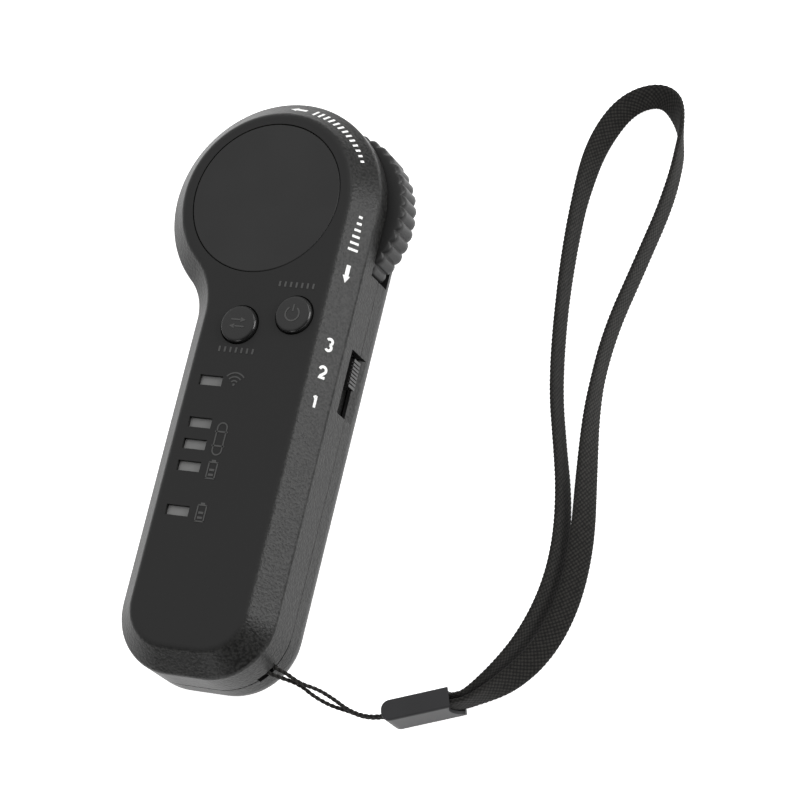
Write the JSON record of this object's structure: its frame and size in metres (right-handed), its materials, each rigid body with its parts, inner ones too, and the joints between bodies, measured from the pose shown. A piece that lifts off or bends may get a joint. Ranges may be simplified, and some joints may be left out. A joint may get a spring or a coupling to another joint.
{
  "type": "radio transmitter controller",
  "caption": "Hand-held thumbwheel radio transmitter with a round head, push buttons, indicator lights, a slide switch and a flat wrist lanyard.",
  "frame": {"origin": "middle of the remote's outline on its flat back, without the lanyard", "axes": "+Z out of the face, +Y towards the round head, +X towards the thumbwheel"},
  "size_m": [0.109, 0.1463, 0.0246],
  "materials": {
    "case": "fine matte texture",
    "disc": "satin inlay",
    "wheel": "satin moulded teeth",
    "cap": "satin",
    "lens": "smoked diffuser",
    "led": "chip lights",
    "steel": "bright",
    "magnet": "nickel plated",
    "washer": "slippery plastic",
    "board": "coated laminate",
    "chip": "moulded",
    "cell": "foil pouch",
    "strap": "woven braid",
    "cord": "twisted cord",
    "clasp": "matte moulded sleeve",
    "print": "white pad print"
  },
  "bodies": {
    "case": {"battery_cell": "cell", "battery_socket": "chip", "board_high_lens": "lens", "board_high_light": "led", "board_low_lens": "lens", "board_low_light": "led", "board_mid_lens": "lens", "board_mid_light": "led", "board_screws": "steel", "case_screws": "steel", "charger_chip": "chip", "circuit_board": "board", "controller_chip": "chip", "face_disc": "disc", "front_shell": "case", "hall_sensor": "chip", "lanyard_clasp": "clasp", "lanyard_cord_inner": "cord", "lanyard_cord_outer": "cord", "lanyard_pin": "steel", "lanyard_strap": "strap", "lower_washer": "washer", "power_switch": "chip", "radio_module": "board", "radio_shield": "steel", "rear_shell": "case", "remote_lens": "lens", "remote_light": "led", "reverse_switch": "chip", "signal_lens": "lens", "signal_light": "led", "slide_switch": "chip", "switch_board": "board", "upper_washer": "washer", "usb_socket": "steel", "wheel_axle": "steel", "wheel_spring": "steel"},
    "wheel": {"thumbwheel": "wheel", "wheel_magnet_left": "magnet", "wheel_magnet_right": "magnet"},
    "power_key": {"power_button": "cap", "power_plunger": "chip"},
    "reverse_key": {"reverse_button": "cap", "reverse_plunger": "chip"},
    "speed_key": {"speed_slider": "cap"}
  },
  "joints": [
    {"name": "wheel_turn", "type": "hinge", "parent": "case", "child": "wheel", "pos_m": [0.0067, 0.0422, 0.0098], "axis": [0, 0, 1], "range_deg": [-35, 35], "stiffness_Nm_per_rad": 0.01, "deforming": ["wheel_spring"]},
    {"name": "power_press", "type": "slide", "parent": "case", "child": "power_key", "axis": [0, 0, -1], "range_m": [0, 0.0005], "stiffness_N_per_m": 400, "springref_m": -0.001},
    {"name": "reverse_press", "type": "slide", "parent": "case", "child": "reverse_key", "axis": [0, 0, -1], "range_m": [0, 0.0005], "stiffness_N_per_m": 400, "springref_m": -0.001},
    {"name": "speed_slide", "type": "slide", "parent": "case", "child": "speed_key", "axis": [0, -1, 0], "range_m": [0, 0.0051]}
  ]
}
